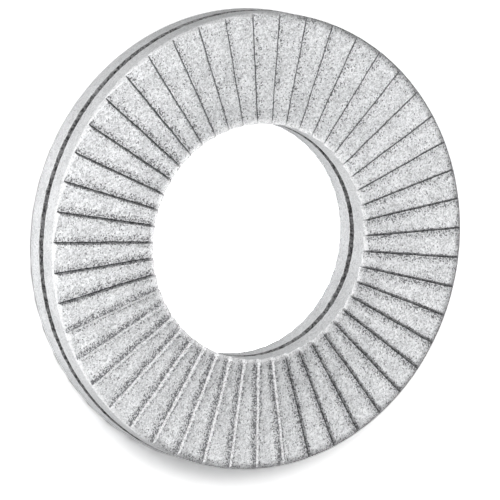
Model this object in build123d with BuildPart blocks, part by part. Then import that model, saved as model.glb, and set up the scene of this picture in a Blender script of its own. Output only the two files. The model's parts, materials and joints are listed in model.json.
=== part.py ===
from build123d import *
import os
from math import radians, tan

# Wedge lock washer pair, wide series for an M10 bolt. Two identical coined steel washers lie
# cam face to cam face, each with radial ratchet serrations on its outer face.
# Millimetres. +Z is the bolt axis. The pair rests on the lower serrations at Z = 0.

# Ring
outer_diameter = 21.0
bore_diameter = 10.8
pair_thickness = 2.5

# Radial serrations on the two outer faces
tooth_count = 47
tooth_depth = 0.13
tooth_step_width = 0.12
tooth_land_width = 0.10

# Wedge cams on the two inner faces
cam_count = 10
cam_rise = 0.25
cam_blunting = 0.02
cam_backlash = 0.10

# Edge breaks: chamfers beside the serrations, and reliefs beside the cams. A relief is a level shelf
# that stays clear of the cam ramps, and a slope from the shelf down to the cam tips. The reliefs of
# the two washers leave a groove all round the pair, at the rim and in the bore.
rim_chamfer = 0.17
bore_chamfer = 0.08
relief_clearance = 0.05
rim_shelf_width = 0.30
rim_slope_width = 0.20
bore_shelf_width = 0.25
bore_slope_width = 0.15

# How far the cutting tools run past the metal they remove
tool_lift = 0.005
tool_overrun = 1.0

outer_radius = outer_diameter / 2
bore_radius = bore_diameter / 2
mid_height = pair_thickness / 2
tooth_pitch = 360 / tooth_count
cam_half_pitch = 180 / cam_count

# A cam ramp is swept by level radial lines. It passes through the mid plane at the middle of its
# pitch and rises by half of cam_rise to either side, so a turned-over copy fits it exactly.
cam_half_rise = cam_rise / 2
cam_tip_height = cam_half_rise - cam_blunting
shelf_height = mid_height + cam_half_rise + relief_clearance

# The two planes across which the radial cutting tools are lofted, one inside the bore and one
# past the rim
inner_reach = bore_radius / 2
outer_reach = outer_radius + tool_overrun


def tooth_profile(reach):
    """Points of one serration groove, seen along the radius at a distance from the bolt axis."""
    ramp_top = -reach * tan(radians(tooth_pitch)) + tooth_land_width
    ramp_run = -tooth_step_width - ramp_top
    return [
        (ramp_top - ramp_run * tool_lift / tooth_depth, pair_thickness + tool_lift),
        (-tooth_step_width, pair_thickness - tooth_depth),
        (tooth_step_width * tool_lift / tooth_depth, pair_thickness + tool_lift),
    ]


def cam_profile(reach):
    """Points of the hollow under one cam ramp, seen along the radius."""
    boundary = reach * tan(radians(cam_half_pitch))
    tool_drop = cam_tip_height + tool_lift
    ramp_end = -boundary * tool_drop / cam_half_rise
    step_end = boundary + cam_backlash * (tool_drop + cam_half_rise) / cam_rise
    return [
        (boundary, mid_height + cam_half_rise),
        (ramp_end, mid_height - tool_drop),
        (step_end, mid_height - tool_drop),
    ]


# Serration groove: a steep face that faces clockwise, seen from above, and a long gentle ramp
with BuildPart() as tooth_tool:
    for reach in (inner_reach, outer_reach):
        with BuildSketch(Plane.YZ.offset(reach)):
            with BuildLine():
                Polyline(tooth_profile(reach), close=True)
            make_face()
    loft(ruled=True)

# Hollow between two cam tips: the ramp climbs counter-clockwise and ends at a steep face
with BuildPart() as cam_tool:
    for reach in (inner_reach, outer_reach):
        with BuildSketch(Plane.YZ.offset(reach)):
            with BuildLine():
                Polyline(cam_profile(reach), close=True)
            make_face()
    loft(ruled=True)

# Upper washer: serrations up, cams down
with BuildPart() as upper_washer:
    with BuildSketch(Plane.XZ):
        with BuildLine():
            Polyline(
                (outer_radius - rim_shelf_width - rim_slope_width, mid_height - cam_tip_height),
                (outer_radius - rim_shelf_width, shelf_height),
                (outer_radius, shelf_height),
                (outer_radius, pair_thickness - rim_chamfer),
                (outer_radius - rim_chamfer, pair_thickness),
                (bore_radius + bore_chamfer, pair_thickness),
                (bore_radius, pair_thickness - bore_chamfer),
                (bore_radius, shelf_height),
                (bore_radius + bore_shelf_width, shelf_height),
                (bore_radius + bore_shelf_width + bore_slope_width, mid_height - cam_tip_height),
                close=True,
            )
        make_face()
    revolve(axis=Axis.Z)
    with PolarLocations(0, tooth_count):
        add(tooth_tool.part, mode=Mode.SUBTRACT)
    with PolarLocations(0, cam_count):
        add(cam_tool.part, mode=Mode.SUBTRACT)

# Lower washer: the same washer turned over about the X axis, so the cams nest
with BuildPart() as lower_washer:
    with Locations(Location((0, 0, pair_thickness), (180, 0, 0))):
        add(upper_washer.part)

upper_washer.part.label = "upper_washer"
lower_washer.part.label = "lower_washer"

os.makedirs("parts", exist_ok=True)
export_step(upper_washer.part, "parts/upper_washer.step")
export_step(lower_washer.part, "parts/lower_washer.step")
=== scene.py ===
import json
from math import cos, pi, radians, sin, tan

import bpy
import numpy as np
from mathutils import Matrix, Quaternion, Vector, noise


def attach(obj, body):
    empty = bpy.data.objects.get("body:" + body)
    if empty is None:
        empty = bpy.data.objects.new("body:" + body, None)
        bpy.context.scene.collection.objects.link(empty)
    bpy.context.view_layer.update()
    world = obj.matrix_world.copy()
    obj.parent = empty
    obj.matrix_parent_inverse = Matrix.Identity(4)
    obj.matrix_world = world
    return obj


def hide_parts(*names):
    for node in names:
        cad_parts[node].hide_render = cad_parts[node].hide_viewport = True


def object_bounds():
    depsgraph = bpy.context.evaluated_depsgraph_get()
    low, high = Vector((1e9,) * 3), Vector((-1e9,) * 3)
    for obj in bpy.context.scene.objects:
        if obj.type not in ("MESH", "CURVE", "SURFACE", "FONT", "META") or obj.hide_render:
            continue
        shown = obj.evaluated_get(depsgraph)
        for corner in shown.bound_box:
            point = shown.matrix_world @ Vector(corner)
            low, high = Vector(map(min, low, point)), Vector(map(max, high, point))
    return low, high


# Wedge lock washer pair with a zinc flake coat, lying on a pale floor. Metres, +Z up.

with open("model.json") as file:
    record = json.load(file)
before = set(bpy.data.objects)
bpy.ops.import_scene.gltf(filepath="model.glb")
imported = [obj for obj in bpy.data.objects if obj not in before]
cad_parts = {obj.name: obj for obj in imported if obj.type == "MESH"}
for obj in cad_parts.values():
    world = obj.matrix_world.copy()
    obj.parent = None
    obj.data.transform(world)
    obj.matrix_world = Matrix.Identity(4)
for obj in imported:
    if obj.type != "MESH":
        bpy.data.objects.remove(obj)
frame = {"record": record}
solid_low, solid_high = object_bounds()

MM = 0.001

# Ring, read from the frame
rim_radius = solid_high.x
pair_thickness = solid_high.z
mid_height = pair_thickness / 2
bolt_bore = next(mount for mount in frame["record"]["mounts"] if mount["name"] == "bolt_bore")
bore_radius = bolt_bore["dims"]["r_mm"] * MM

# Serrations of the outer faces. Each has a crest line, a steep step that falls clockwise from it,
# and a gentle ramp that falls counter-clockwise from it. Coining rounds the step into an S, and
# leaves a crease at its foot. Places are distances past the crest line.
tooth_count = 47
tooth_depth = 0.13 * MM
step_foot = -0.13 * MM
step_top = 0.01 * MM
step_middle = -0.06 * MM
step_core_width = 0.08 * MM
crease_place = -0.11 * MM
ramp_swell = 0.2

# Cams of the inner faces
cam_count = 10
cam_rise = 0.25 * MM
cam_blunting = 0.02 * MM
cam_backlash = 0.10 * MM
cam_clearance = 0.002 * MM
cam_step_lead = 0.04 * MM
cam_step_run_out = 0.20 * MM

# Edge breaks: chamfers beside the serrations, and reliefs beside the cams
rim_chamfer = 0.17 * MM
bore_chamfer = 0.08 * MM
least_chamfer = 0.02 * MM
relief_clearance = 0.05 * MM
rim_shelf_width = 0.30 * MM
rim_slope_width = 0.20 * MM
bore_shelf_width = 0.25 * MM
bore_slope_width = 0.15 * MM
shelf_height = mid_height + cam_rise / 2 + relief_clearance

# Corners of the section are rounded over this reach, or this share of a shorter side. At the wall's
# lower edge a guide row straight above gives the rounding its direction, and the wall has rows at
# the lip's rises above the rounding.
corner_radius = 0.030 * MM
longest_corner_share = 0.45
least_side = 1e-9
wall_guide_rise = 4 * corner_radius
lip_rises = (corner_radius, 2 * corner_radius, 3.5 * corner_radius)

# Mesh columns run round the ring and mesh rows run round its section
columns_per_tooth = 30
columns_beside_step = 18
columns_per_cam = tooth_count * columns_per_tooth // cam_count
columns_beside_cam_step = 13
face_rows = 20
wall_rows = 2
shelf_rows = 2
slope_rows = 3
cam_rows = 6

# Unevenness that stamping leaves. Each kind has its own noise.
face_wave = 0.004 * MM
face_wave_length = 0.55 * MM
face_wave_seed = 5
line_wander = 0.022 * MM
line_wander_length = 0.8 * MM
# The lip's wander moves only the edge of the groove's painted shade
lip_wander = 0.045 * MM
lip_wander_length = 0.25 * MM
lip_wander_seed = 9
seed_shift = Vector((7.3, 3.1, 5.7))

# The serrations are struck a little off the ring's centre
strike_shift = Vector((-0.053, 0.108)) * MM

# Arcs of the ring in degrees: middle, half width and fade beyond it. Painted shade lies in the
# creases as a dark line, and is nearly gone over the lit crease arc, where light falls into them.
# Fewer dark specks of painted shade crowd beside them over the faint halo arc. The rim's upper
# corner has a painted highlight over the highlight arc, and painted shade round the rest.
lit_crease_arc = (23, 37, 9)
faint_halo_arc = (216, 46, 22)
highlight_arc = (-56, 62, 24)
least_crease_shade = 0.12
least_halo_shade = 0.45
rim_highlight = 0.7
rim_shade_width = 0.20 * MM
rim_shade_depth = 0.175 * MM

# Where the creases are lit, the step has a painted highlight on a strip at its middle
highlight_strip_half = 0.0175 * MM
highlight_strip_fade = 0.035 * MM

# Off the face this is added to the distance to a crease, so that no painted shade reaches there.
# These shares of the pitch tell how soon the one side of a crease becomes the other, and how soon
# both end midway along a ramp.
off_the_face = 1.0 * MM
side_turn_share = 0.05
side_end_share = 0.1

# The painted shade of the groove between the washers reaches this far up the wall past the shelf
groove_shade_rise = 0.054 * MM
groove_shade_fade = 0.015 * MM

# Zinc flake coat. A noise has a size in millimetres, a detail and a roughness. Pairs of limits
# tell between which values of a noise or of the flakes a layer fades. Shares tell how strongly a
# layer covers what lies under it, and wall_speckle how much of the face's speckle the walls have.
grain_noise = (0.14, 4, 0.7)
patch_noise = (1.1, 3, 0.55)
flake_size = 0.052
patch_limits = (0.3, 0.7)
patch_dark = (0.69, 0.70, 0.71, 1)
patch_light = (0.81, 0.82, 0.83, 1)
cloud_limits = (0.28, 0.62)
cloud_share = 0.55
cloud_tone = (0.30, 0.30, 0.31, 1)
dark_flake_limits = (0.10, 0.45)
dark_flake_share = 0.42
dark_flake_tone = (0.25, 0.25, 0.26, 1)
light_flake_limits = (0.60, 0.95)
light_flake_share = 0.4
light_flake_tone = (0.97, 0.97, 0.98, 1)
wall_speckle = 0.5

# Beside a crease: a halo of painted shade as dark specks and shade, with widths in millimetres,
# and a thin dark line of painted shade. Crowding is the share of flakes that are dark specks.
halo_high_side = 0.26
halo_low_side = 0.42
halo_raggedness = 0.18
halo_core_share = 0.05
lit_arc_crowding = 0.60
shaded_arc_crowding = 0.38
face_crowding = 0.04
rim_shade_crowding = 0.26
speck_softness = 0.04
speck_share = 0.85
# Dark specks: the coat's own on the face, and painted shade beside the creases and round the rim
speck_and_shade_tone = (0.09, 0.09, 0.095, 1)
lit_arc_shade = 0.20
shaded_arc_shade = 0.14
shade_tone = (0.10, 0.10, 0.11, 1)
line_limits = (0.006, 0.040)
line_raggedness = 0.09
line_share = 0.97
line_shade_tone = (0.03, 0.03, 0.032, 1)

# Dull walls, painted shade and painted highlight on the rim corner, worn metal with painted
# highlights, and painted shade in the groove between the washers
wall_dulling = 0.12
rim_shading = 0.50
dull_and_shade_tone = (0.20, 0.20, 0.205, 1)
highlight_flake_limits = (0.10, 0.60)
least_highlight = 0.35
most_highlight = 0.9
worn_and_highlight_tone = (0.93, 0.93, 0.94, 1)
groove_shade_limits = (0.38, 0.62)
groove_shade_dark = (0.03, 0.03, 0.031, 1)
groove_shade_light = (0.28, 0.28, 0.285, 1)

# Sheen of the coat
face_metallic = 0.7
edge_metallic = 0.3
sheen_limits = (0.3, 0.7)
most_roughness = 0.50
least_roughness = 0.36
polish_smoothing = 0.12
grain_bump = 0.015 * MM
grain_bump_strength = 0.8

# Camera, from the view of the photo. The roll turns the picture about the line of sight, and the
# aim lies beside the middle of the part by these distances in the picture.
camera_azimuth = 38.7
camera_elevation = 61.72
camera_roll = 104.03
camera_distance = 388.5 * MM
camera_lens = 611.53
aim_right = 0.11 * MM
aim_up = -0.51 * MM
nearest_seen = 0.01
farthest_seen = 10

# Light: a key light beyond the upper left of the picture, which casts the shadow, and lights that
# fill in without one and fall on the washers only: a pair overhead on the right, and, without a
# glint, a low one at the lower left, a low one at the right and a soft box on the left.
key_light = {"azimuth": -13, "elevation": 66, "width": 30, "strength": 0.9}
overhead_lights = {
    "overhead_light_a": {"azimuth": 196, "elevation": 59, "width": 24, "strength": 0.46},
    "overhead_light_b": {"azimuth": 244, "elevation": 59, "width": 24, "strength": 0.38},
}
low_lights = {
    "low_light_in_front": {"azimuth": 106, "elevation": 10, "width": 46, "strength": 1.1},
    "low_light_behind": {"azimuth": 230, "elevation": 10, "width": 46, "strength": 0.8},
}
side_box = {
    "azimuth": 46,
    "elevation": 26,
    "distance": 60 * MM,
    "width": 40 * MM,
    "power": 0.036,
}

# The sky is dim, with a white band behind the floor's edge. The band fades between these sines of
# the elevation.
sky_white = (1, 1, 1, 1)
sky_dim = 0.08
band_height = 0.06
band_end = 0.09

# The floor has a tone for light, one for mirror rays and one for the camera, and the camera sees a
# whiter one inside the bore, a painted pool of light that lifts the floor's shade there
floor_radius = 0.8
floor_sides = 96
floor_tone = (0.65, 0.65, 0.65, 1)
floor_tone_mirrored = (1.6, 1.6, 1.6, 1)
floor_tone_seen = (3.3, 3.3, 3.3, 1)
painted_light_in_bore = (8.0, 8.0, 8.0, 1)
bore_light_end = 1.1 * bore_radius


def eased(share):
    """0 below 0, 1 above 1, eased in between."""
    share = np.clip(share, 0, 1)
    return share * share * (3 - 2 * share)


def beyond_arc(angle, arc):
    """0 on an arc of the ring, 1 beyond it, eased over the fade."""
    middle, half, fade = arc
    from_middle = abs(np.mod(np.degrees(angle) - middle + 180, 360) - 180)
    return eased((from_middle - half) / fade)


def places(radius, height, angle):
    """The points of the mesh, in an array of rows, columns and coordinates."""
    return np.stack([radius * np.cos(angle), radius * np.sin(angle), height], -1)


def wander(points, length, seed):
    """Smooth noise from -1 to 1 at each point, with features of about the length."""
    shift = seed_shift * seed
    values = [noise.noise(Vector(point) / length + shift) for point in points.reshape(-1, 3)]
    return np.array(values).reshape(points.shape[:-1])


class ToothColumns:
    """Mesh columns over the serrated face. A column keeps its depth from bore to rim."""

    def __init__(self):
        beside = np.linspace(step_foot, step_top, columns_beside_step)
        ramp_columns = columns_per_tooth - columns_beside_step
        share = np.arange(1, ramp_columns + 1) / (ramp_columns + 1)
        sweep = eased((beside - step_foot) / (step_top - step_foot))
        core = eased((beside - step_middle) / step_core_width + 0.5)
        fall = share + ramp_swell * np.sin(2 * pi * share) / (2 * pi)
        self.tooth = np.repeat(np.arange(tooth_count), columns_per_tooth)
        self.beside = self.all_round(beside, np.full(ramp_columns, step_top))
        self.share = self.all_round(np.zeros(columns_beside_step), share)
        self.depth = tooth_depth * self.all_round(1 - (sweep + core) / 2, fall)

    def all_round(self, step, ramp):
        return np.tile(np.concatenate([step, ramp]), tooth_count)

    def past_crest(self, radius):
        """Distance of each column past the crest line of its tooth."""
        pitch = 2 * pi * radius / tooth_count
        return self.beside + self.share * (pitch - step_top + step_foot)

    def angle(self, radius):
        return self.tooth * 2 * pi / tooth_count + self.past_crest(radius) / radius

    def crease_distance(self, radius):
        """Distance to the nearest crease."""
        pitch = 2 * pi * radius / tooth_count
        past = self.past_crest(radius) - crease_place
        return np.minimum(abs(past), abs(pitch - past))

    def crease_side(self, radius):
        """1 on the low side of a crease, -1 on its high side, and 0 midway along a ramp."""
        pitch = 2 * pi * radius / tooth_count
        past = np.mod(self.past_crest(radius) - crease_place + pitch / 2, pitch) / pitch - 0.5
        side = np.clip(-past / side_turn_share, -1, 1)
        return side * np.clip((0.5 - abs(past)) / side_end_share, 0, 1)


class CamColumns:
    """Mesh columns over the cam face, close together at each steep face."""

    def __init__(self):
        beside = np.linspace(-cam_step_lead, cam_step_run_out, columns_beside_cam_step)
        ramp_columns = columns_per_cam - columns_beside_cam_step
        share = np.arange(1, ramp_columns + 1) / (ramp_columns + 1)
        self.cam = self.shifted(np.repeat(np.arange(cam_count), columns_per_cam))
        self.beside = self.all_round(beside, np.full(ramp_columns, cam_step_run_out))
        self.share = self.all_round(np.zeros(columns_beside_cam_step), share)

    def all_round(self, beside, ramp):
        return self.shifted(np.tile(np.concatenate([beside, ramp]), cam_count))

    def shifted(self, values):
        """The first cam boundary lies half a cam past the first column."""
        return np.roll(values, columns_per_cam // 2)

    def angle(self, radius):
        pitch = 2 * pi * radius / cam_count
        past = self.beside + self.share * (pitch - cam_step_lead - cam_step_run_out)
        turn = (self.cam + 0.5) * 2 * pi / cam_count + past / radius
        return np.unwrap(np.where(turn > 2 * pi - pi / cam_count, turn - 2 * pi, turn))

    def height(self, radius):
        """A ramp that climbs counter-clockwise, a steep face down and a blunted tip."""
        pitch = 2 * pi / cam_count
        past = np.mod(self.angle(radius) - pitch / 2, pitch)
        ramp = cam_rise / 2 * np.tan(past - pitch / 2) / tan(pitch / 2)
        steep = cam_rise / 2 - cam_rise * past * radius / cam_backlash
        tip = cam_blunting - cam_rise / 2
        return mid_height + cam_clearance + np.maximum(np.maximum(ramp, steep), tip)


def row(radius, height, angle):
    """One mesh row round the ring: three arrays, one value for each column."""
    return np.array(np.broadcast_arrays(radius, height, angle), float)


def between(start, end, count):
    """Rows evenly spaced between two rows, without those two."""
    return [start + (end - start) * step / (count + 1) for step in range(1, count + 1)]


def raised(start, rise):
    """The row straight above a row."""
    return row(start[0], start[1] + rise, start[2])


def rounded(before, here, after):
    """Three rows that round the corner of the section at a row."""
    ends = []
    for other in (before, after):
        side = other - here
        share = corner_radius / np.maximum(np.hypot(side[0], side[1]), least_side)
        ends.append(here + side * np.minimum(share, longest_corner_share))
    start, end = ends
    return [start, (start + 2 * here + end) / 4, end]


def relief(wall_radius, shelf_width, slope_width, cams):
    """Rows from the wall's lower edge over the level shelf and down the slope to the cam tips.

    At the bore the widths are negative."""
    shelf_end = wall_radius - shelf_width
    slope_end = shelf_end - slope_width
    edge = row(wall_radius, shelf_height, cams.angle(wall_radius))
    shelf = row(shelf_end, shelf_height, cams.angle(shelf_end))
    rows = rounded(raised(edge, wall_guide_rise), edge, shelf)
    rows += between(rows[-1], shelf, shelf_rows)
    rows.append(shelf)
    drop = shelf_height - (mid_height + cam_blunting - cam_rise / 2)
    for share in np.linspace(0, 1, slope_rows + 2)[1:]:
        radius = shelf_end + (slope_end - shelf_end) * share
        height = np.maximum(shelf_height - drop * share, cams.height(radius))
        rows.append(row(radius, height, cams.angle(radius)))
    return rows


def section_rows():
    """All rows of the upper washer, once round its section from the bore's upper edge.

    The marks tell which rows are the serrated face, which are worn bright with a painted highlight
    all round, and which are the rim's upper corner."""
    teeth = ToothColumns()
    cams = CamColumns()
    face = pair_thickness - teeth.depth
    bore_break = np.maximum(bore_chamfer - teeth.depth, least_chamfer)
    rim_break = rim_chamfer - teeth.depth
    bore_edge = row(bore_radius, face - bore_break, teeth.angle(bore_radius))
    face_inner = row(bore_radius + bore_break, face, teeth.angle(bore_radius + bore_break))
    face_outer = row(rim_radius - rim_break, face, teeth.angle(rim_radius - rim_break))
    rim_edge = row(rim_radius, pair_thickness - rim_chamfer, teeth.angle(rim_radius))
    rim_relief = relief(rim_radius, rim_shelf_width, rim_slope_width, cams)
    bore_relief = relief(bore_radius, -bore_shelf_width, -bore_slope_width, cams)[::-1]

    rows = rounded(bore_relief[-1], bore_edge, face_inner)
    inner_corner = rounded(bore_edge, face_inner, face_outer)
    outer_corner = rounded(face_inner, face_outer, rim_edge)
    rows += inner_corner
    worn_and_highlit = [len(rows) - 3, len(rows) - 2, len(rows) - 1]
    face_first = len(rows) - 1
    for share in np.linspace(0, 1, face_rows + 2)[1:-1]:
        radius = inner_corner[-1][0] + (outer_corner[0][0] - inner_corner[-1][0]) * share
        rows.append(row(radius, face, teeth.angle(radius)))
    face_end = len(rows) + 1
    rows += outer_corner
    rows += rounded(face_outer, rim_edge, rim_relief[0])
    rim_lip = [raised(rim_relief[0], rise) for rise in reversed(lip_rises)]
    rows += between(rows[-1], rim_lip[0], wall_rows)
    rows += rim_lip
    worn_and_highlit += [len(rows) - 1, len(rows)]
    rows += rim_relief
    for share in np.linspace(0, 1, cam_rows + 2)[1:-1]:
        radius = rim_relief[-1][0] + (bore_relief[0][0] - rim_relief[-1][0]) * share
        rows.append(row(radius, cams.height(radius), cams.angle(radius)))
    rows += bore_relief
    worn_and_highlit += [len(rows) - 1, len(rows)]
    rows += [raised(bore_relief[-1], rise) for rise in lip_rises]
    rows += between(rows[-1], rows[0], wall_rows)
    marks = {
        "face": slice(face_first, face_end),
        "worn_and_highlit": worn_and_highlit,
        "rim_corner": slice(face_end, face_end + 3),
    }
    return np.array(rows), teeth, marks


def coat_masks(radius, height, angle, on_face, teeth, marks, seed):
    """What the coat has to know at each point of the mesh. Distances are in millimetres."""
    distance = np.array([teeth.crease_distance(values) for values in radius])
    side = np.array([teeth.crease_side(values) for values in radius])
    # Painted shade in the creases, nearly gone over the arc where light falls into them
    shaded_creases = beyond_arc(angle, lit_crease_arc)
    off_highlight_arc = beyond_arc(angle, highlight_arc)
    from_step = np.array([abs(teeth.past_crest(values) - step_middle) for values in radius])
    # Painted highlight on a strip at the middle of each step where the creases are lit
    off_highlight_strip = eased((from_step - highlight_strip_half) / highlight_strip_fade)
    polish_and_highlight = (1 - shaded_creases) * on_face * (1 - off_highlight_strip)
    # Rows worn bright and given a painted highlight all round
    polish_and_highlight[marks["worn_and_highlit"]] = 1
    # Painted highlight on the rim's upper corner over one arc
    polish_and_highlight[marks["rim_corner"]] = rim_highlight * (1 - off_highlight_arc[marks["rim_corner"]])
    rim_shade_from = rim_radius - rim_chamfer - rim_shade_width
    near_rim = eased((radius - rim_shade_from) / rim_shade_width)
    # Painted shade in the groove between the washers, up to a wandering edge
    lip = shelf_height + groove_shade_rise
    lip = lip + lip_wander * wander(
        places(radius, height, angle), lip_wander_length, seed + lip_wander_seed
    )
    return {
        "crease_distance": (distance + off_the_face * (1 - on_face)) / MM,
        "crease_side": side,
        "crease_shade": least_crease_shade + (1 - least_crease_shade) * shaded_creases,
        # How strongly painted shade crowds beside the creases, fainter over one arc
        "halo_shade_share": least_halo_shade + (1 - least_halo_shade) * beyond_arc(angle, faint_halo_arc),
        "edge": np.broadcast_to(1 - on_face, radius.shape),
        "polish_and_highlight": polish_and_highlight,
        # Painted shade round the rim's upper corner beyond the highlight arc
        "rim_shade": near_rim * off_highlight_arc * (height > pair_thickness - rim_shade_depth),
        "groove_shade": eased((lip - height) / groove_shade_fade),
    }


def stamped(radius, height, angle, on_face, seed):
    """The points with the unevenness of stamping. It fades down the wall to the shelf's height."""
    plain = places(radius, height, angle)
    sideways = line_wander * wander(plain, line_wander_length, seed)
    sideways += strike_shift.y * np.cos(angle) - strike_shift.x * np.sin(angle)
    lift = face_wave * wander(plain, face_wave_length, seed + face_wave_seed)
    wall_top = pair_thickness - rim_chamfer
    struck = np.clip((height - shelf_height) / (wall_top - shelf_height), 0, 1)
    return places(radius, height - (face_wave + lift) * on_face, angle + sideways * struck / radius)


def washer_mesh(name, seed, turned_over):
    """A ring of stamped steel with its masks. The lower washer is the upper one turned over."""
    rows, teeth, marks = section_rows()
    radius, height, angle = rows[:, 0], rows[:, 1], rows[:, 2]
    on_face = np.zeros((len(rows), 1))
    on_face[marks["face"]] = 1
    points = stamped(radius, height, angle, on_face, seed).reshape(-1, 3)
    if turned_over:
        points = points * (1, -1, -1) + (0, 0, pair_thickness)
    here = np.arange(radius.size).reshape(radius.shape)
    next_row = np.roll(here, -1, 0)
    corners = [here, next_row, np.roll(next_row, -1, 1), np.roll(here, -1, 1)]
    quads = np.stack(corners, -1).reshape(-1, 4)
    mesh = bpy.data.meshes.new(name)
    mesh.from_pydata(points.tolist(), [], quads.tolist())
    mesh.shade_smooth()
    for mask, values in coat_masks(radius, height, angle, on_face, teeth, marks, seed).items():
        layer = mesh.attributes.new(mask, "FLOAT", "POINT")
        layer.data.foreach_set("value", values.astype(np.float32).ravel())
    piece = bpy.data.objects.new(name, mesh)
    bpy.context.scene.collection.objects.link(piece)
    return piece


class Nodes:
    """Short calls for a node tree."""

    def __init__(self, tree):
        self.tree = tree
        tree.nodes.clear()

    def add(self, kind, **settings):
        node = self.tree.nodes.new(kind)
        for key, value in settings.items():
            setattr(node, key, value)
        return node

    def link(self, output, socket):
        self.tree.links.new(output, socket)

    def feed(self, socket, value):
        if hasattr(value, "is_output"):
            self.link(value, socket)
        else:
            socket.default_value = value

    def math(self, operation, *values):
        node = self.add("ShaderNodeMath", operation=operation)
        for socket, value in zip(node.inputs, values):
            self.feed(socket, value)
        return node.outputs[0]

    def plus(self, first, second):
        return self.math("ADD", first, second)

    def minus(self, first, second):
        return self.math("SUBTRACT", first, second)

    def times(self, first, second):
        return self.math("MULTIPLY", first, second)

    def larger(self, first, second):
        return self.math("MAXIMUM", first, second)

    def noise(self, coordinates, size, detail, roughness):
        """Noise from 0 to 1 with features of about a size in millimetres."""
        node = self.add("ShaderNodeTexNoise")
        self.link(coordinates, node.inputs["Vector"])
        node.inputs["Scale"].default_value = 1 / (size * MM)
        node.inputs["Detail"].default_value = detail
        node.inputs["Roughness"].default_value = roughness
        return node.outputs["Fac"]

    def flakes(self, coordinates, size):
        """Cells of about a size in millimetres, each with two even values of its own from 0 to 1."""
        node = self.add("ShaderNodeTexVoronoi")
        self.link(coordinates, node.inputs["Vector"])
        node.inputs["Scale"].default_value = 1 / (size * MM)
        split = self.add("ShaderNodeSeparateColor")
        self.link(node.outputs["Color"], split.inputs[0])
        return split.outputs[0], split.outputs[1]

    def ramp(self, value, low, high, at_low=0.0, at_high=1.0):
        node = self.add("ShaderNodeMapRange", interpolation_type="SMOOTHSTEP")
        self.feed(node.inputs["From Min"], low)
        self.feed(node.inputs["From Max"], high)
        self.feed(node.inputs["To Min"], at_low)
        self.feed(node.inputs["To Max"], at_high)
        self.link(value, node.inputs["Value"])
        return node.outputs["Result"]

    def by_mask(self, mask, at_none, at_full):
        """One value where the mask is 0 and another where it is 1."""
        return self.ramp(mask, 0.0, 1.0, at_none, at_full)

    def mix(self, share, first, second):
        node = self.add("ShaderNodeMix", data_type="RGBA")
        colours = [socket for socket in node.inputs if socket.type == "RGBA"]
        self.feed(node.inputs["Factor"], share)
        self.feed(colours[0], first)
        self.feed(colours[1], second)
        return next(socket for socket in node.outputs if socket.type == "RGBA")

    def attribute(self, name):
        return self.add("ShaderNodeAttribute", attribute_name=name).outputs["Fac"]


def speckled_coat(nodes, place, grain, flake, speckle):
    """The plain coat: patches, dark clouds, and dark and light flakes."""
    patch = nodes.noise(place, *patch_noise)
    coat = nodes.mix(nodes.ramp(patch, *patch_limits), patch_dark, patch_light)
    clouds = nodes.ramp(grain, *cloud_limits, cloud_share, 0.0)
    coat = nodes.mix(nodes.times(clouds, speckle), coat, cloud_tone)
    dark_flakes = nodes.ramp(flake, *dark_flake_limits, dark_flake_share, 0.0)
    coat = nodes.mix(nodes.times(dark_flakes, speckle), coat, dark_flake_tone)
    light_flakes = nodes.ramp(flake, *light_flake_limits, 0.0, light_flake_share)
    return nodes.mix(light_flakes, coat, light_flake_tone)


def with_crease_shade(nodes, coat, grain, speck, speckle):
    """The coat with painted shade beside each crease, as crowded dark specks and shade, and in it as
    a thin dark line.
    """
    # Painted shade beside each crease and in it
    distance = nodes.attribute("crease_distance")
    crease_shade = nodes.attribute("crease_shade")
    uneven = nodes.minus(0.5, grain)
    ragged = nodes.plus(distance, nodes.times(uneven, halo_raggedness))
    width = nodes.ramp(nodes.attribute("crease_side"), -1.0, 1.0, halo_high_side, halo_low_side)
    reach = nodes.ramp(nodes.math("DIVIDE", ragged, width), halo_core_share, 1.0, 1.0, 0.0)
    halo = nodes.times(reach, nodes.attribute("halo_shade_share"))
    in_halo = nodes.times(halo, nodes.by_mask(crease_shade, lit_arc_crowding, shaded_arc_crowding))
    elsewhere = nodes.by_mask(nodes.attribute("rim_shade"), face_crowding, rim_shade_crowding)
    above_crowding = nodes.minus(speck, nodes.plus(in_halo, elsewhere))
    specks = nodes.ramp(above_crowding, -speck_softness, speck_softness, speck_share, 0.0)
    coat = nodes.mix(nodes.times(specks, speckle), coat, speck_and_shade_tone)
    shade = nodes.times(halo, nodes.by_mask(crease_shade, lit_arc_shade, shaded_arc_shade))
    coat = nodes.mix(shade, coat, shade_tone)
    thin = nodes.plus(distance, nodes.times(uneven, line_raggedness))
    line = nodes.times(nodes.ramp(thin, *line_limits, line_share, 0.0), crease_shade)
    return nodes.mix(line, coat, line_shade_tone)


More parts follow.
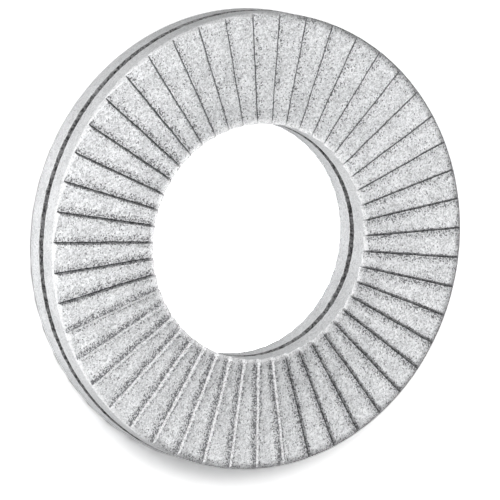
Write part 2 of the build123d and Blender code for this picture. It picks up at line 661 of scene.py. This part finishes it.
def zinc_flake_material():
    material = bpy.data.materials.new("zinc_flake_coat")
    material.use_nodes = True
    nodes = Nodes(material.node_tree)
    place = nodes.add("ShaderNodeTexCoord").outputs["Object"]
    grain = nodes.noise(place, *grain_noise)
    flake, speck = nodes.flakes(place, flake_size)
    edge = nodes.attribute("edge")
    polish_and_highlight = nodes.attribute("polish_and_highlight")
    rim_shade = nodes.attribute("rim_shade")
    speckle = nodes.larger(nodes.by_mask(edge, 1.0, wall_speckle), rim_shade)

    coat = speckled_coat(nodes, place, grain, flake, speckle)
    # Painted shade at the creases
    coat = with_crease_shade(nodes, coat, grain, speck, speckle)
    # Dull walls, and painted shade round the rim's upper corner
    dulling_and_shade = nodes.larger(nodes.times(edge, wall_dulling), nodes.times(rim_shade, rim_shading))
    coat = nodes.mix(dulling_and_shade, coat, dull_and_shade_tone)
    # Worn metal and painted highlights
    worn_and_highlight = nodes.times(polish_and_highlight, nodes.ramp(flake, *highlight_flake_limits, least_highlight, most_highlight))
    coat = nodes.mix(worn_and_highlight, coat, worn_and_highlight_tone)
    # Painted shade in the groove between the washers
    groove_shade_tone = nodes.mix(nodes.ramp(grain, *groove_shade_limits), groove_shade_dark, groove_shade_light)
    coat = nodes.mix(nodes.attribute("groove_shade"), coat, groove_shade_tone)

    shader = nodes.add("ShaderNodeBsdfPrincipled")
    nodes.link(coat, shader.inputs["Base Color"])
    metallic = nodes.by_mask(nodes.larger(edge, polish_and_highlight), face_metallic, edge_metallic)
    nodes.link(metallic, shader.inputs["Metallic"])
    roughness = nodes.ramp(grain, *sheen_limits, most_roughness, least_roughness)
    smoothed = nodes.minus(roughness, nodes.times(polish_and_highlight, polish_smoothing))
    nodes.link(smoothed, shader.inputs["Roughness"])
    bump = nodes.add("ShaderNodeBump")
    bump.inputs["Distance"].default_value = grain_bump
    bump.inputs["Strength"].default_value = grain_bump_strength
    nodes.link(grain, bump.inputs["Height"])
    nodes.link(bump.outputs["Normal"], shader.inputs["Normal"])
    output = nodes.add("ShaderNodeOutputMaterial")
    nodes.link(shader.outputs[0], output.inputs["Surface"])
    return material


def floor_material():
    """Pale floor. To the camera it is white where it is lit, and it keeps its shadow, except inside
    the bore, where painted light lifts it. It is clear from below."""
    material = bpy.data.materials.new("pale_floor")
    material.use_nodes = True
    nodes = Nodes(material.node_tree)
    path = nodes.add("ShaderNodeLightPath")
    from_middle = nodes.add("ShaderNodeVectorMath", operation="LENGTH")
    nodes.link(nodes.add("ShaderNodeTexCoord").outputs["Object"], from_middle.inputs[0])
    # Painted light inside the bore lifts the floor's shade there
    bore_light = nodes.ramp(from_middle.outputs["Value"], bore_radius, bore_light_end, 1.0, 0.0)
    tone_seen = nodes.mix(bore_light, floor_tone_seen, painted_light_in_bore)
    tone_mirrored = nodes.mix(path.outputs["Is Glossy Ray"], floor_tone, floor_tone_mirrored)
    tone = nodes.mix(path.outputs["Is Camera Ray"], tone_mirrored, tone_seen)
    matte = nodes.add("ShaderNodeBsdfDiffuse")
    nodes.link(tone, matte.inputs["Color"])
    clear = nodes.add("ShaderNodeBsdfTransparent")
    sided = nodes.add("ShaderNodeMixShader")
    nodes.link(nodes.add("ShaderNodeNewGeometry").outputs["Backfacing"], sided.inputs[0])
    nodes.link(matte.outputs[0], sided.inputs[1])
    nodes.link(clear.outputs[0], sided.inputs[2])
    output = nodes.add("ShaderNodeOutputMaterial")
    nodes.link(sided.outputs[0], output.inputs["Surface"])
    return material


def direction(azimuth, elevation):
    """Unit vector towards a place in the sky. Azimuth 0 is -Y and 90 is +X."""
    level = cos(radians(elevation))
    east = sin(radians(azimuth)) * level
    north = -cos(radians(azimuth)) * level
    return Vector((east, north, sin(radians(elevation))))


def add_camera():
    back = direction(camera_azimuth, camera_elevation)
    data = bpy.data.cameras.new("photo_view")
    data.lens = camera_lens
    data.clip_start = nearest_seen
    data.clip_end = farthest_seen
    camera = bpy.data.objects.new("photo_view", data)
    bpy.context.scene.collection.objects.link(camera)
    turn = Quaternion(back, radians(camera_roll)) @ (-back).to_track_quat("-Z", "Y")
    aim = Vector((0, 0, mid_height)) + turn @ Vector((aim_right, aim_up, 0))
    camera.location = aim + back * camera_distance
    camera.rotation_mode = "QUATERNION"
    camera.rotation_quaternion = turn
    bpy.context.scene.camera = camera


def place_light(data, azimuth, elevation, distance):
    light = bpy.data.objects.new(data.name, data)
    bpy.context.scene.collection.objects.link(light)
    light.location = direction(azimuth, elevation) * distance
    light.rotation_mode = "QUATERNION"
    light.rotation_quaternion = (-direction(azimuth, elevation)).to_track_quat("-Z", "Y")
    return light


def add_far_light(name, azimuth, elevation, width, strength):
    """A round light so far off that it lights everything alike. The width is an angle."""
    data = bpy.data.lights.new(name, "SUN")
    data.energy = strength
    data.angle = radians(width)
    return place_light(data, azimuth, elevation, floor_radius)


def add_soft_box(name, azimuth, elevation, distance, width, power):
    """A round soft box close to the part, so the side next to it is the brighter one."""
    data = bpy.data.lights.new(name, "AREA")
    data.shape = "DISK"
    data.size = width
    data.energy = power
    light = place_light(data, azimuth, elevation, distance)
    light.visible_camera = False
    return light


def only_fill(light, lit, glints):
    """The light casts no shadow and falls on the lit pieces alone, with or without a glint."""
    light.data.use_shadow = False
    light.light_linking.receiver_collection = lit
    light.visible_glossy = glints


def add_sky():
    world = bpy.data.worlds.new("pale_sky")
    world.use_nodes = True
    bpy.context.scene.world = world
    nodes = Nodes(world.node_tree)
    towards = nodes.add("ShaderNodeTexCoord").outputs["Generated"]
    height = nodes.add("ShaderNodeSeparateXYZ")
    nodes.link(towards, height.inputs[0])
    sky = nodes.add("ShaderNodeBackground")
    sky.inputs["Color"].default_value = sky_white
    strength = nodes.ramp(height.outputs["Z"], band_height, band_end, 1.0, sky_dim)
    nodes.link(strength, sky.inputs["Strength"])
    output = nodes.add("ShaderNodeOutputWorld")
    nodes.link(sky.outputs[0], output.inputs["Surface"])


def add_floor():
    bpy.ops.mesh.primitive_circle_add(vertices=floor_sides, radius=floor_radius, fill_type="NGON")
    floor = bpy.context.object
    floor.name = "floor"
    floor.data.materials.append(floor_material())


def add_washers():
    coat = zinc_flake_material()
    washers = bpy.data.collections.new("washers")
    for seed, node in enumerate(("upper_washer", "lower_washer"), 1):
        piece = washer_mesh("coated_" + node, seed, node == "lower_washer")
        piece.data.materials.append(coat)
        washers.objects.link(piece)
        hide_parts(node)
        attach(piece, "root")
    return washers


add_camera()
add_sky()
add_floor()
washers = add_washers()
add_far_light("key_light", **key_light)
for name, values in overhead_lights.items():
    only_fill(add_far_light(name, **values), washers, True)
for name, values in low_lights.items():
    only_fill(add_far_light(name, **values), washers, False)
only_fill(add_soft_box("side_box", **side_box), washers, False)
bpy.context.scene.view_settings.view_transform = "Standard"
